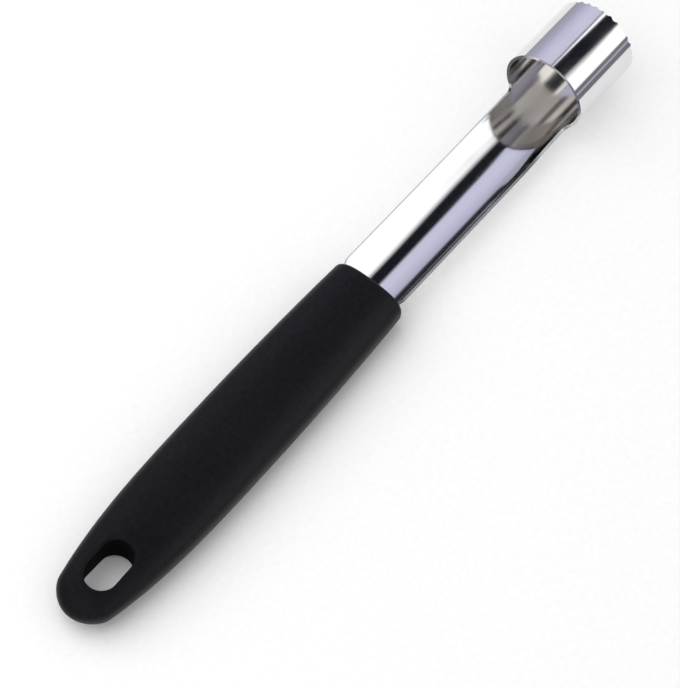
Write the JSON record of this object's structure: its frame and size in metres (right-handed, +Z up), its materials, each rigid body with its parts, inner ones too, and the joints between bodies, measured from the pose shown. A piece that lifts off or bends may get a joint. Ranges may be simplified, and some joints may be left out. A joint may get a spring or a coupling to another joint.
{
  "type": "apple corer",
  "caption": "Apple corer: a rolled stainless tube with a serrated rim and an open trough behind it, set into a flat soft-touch handle with a hang slot.",
  "frame": {"origin": "on the table, under the middle of the whole length and width, with the corer lying on the handle's belly and the tube's front edge", "axes": "+X from the handle's butt to the teeth, +Y to the left when looking along +X, +Z up from the table through the open side of the trough"},
  "size_m": [0.1986, 0.022, 0.0232],
  "materials": {
    "polished_steel": "mirror-polished stainless steel sheet, fine lines along the roll",
    "core_plastic": "plain moulded, hidden under the grip",
    "soft_touch": "matte soft-touch with a faint sheen and a fine mottle"
  },
  "bodies": {
    "root": {"corer_blade": "polished_steel", "handle_core": "core_plastic", "handle_grip": "soft_touch"}
  },
  "joints": []
}
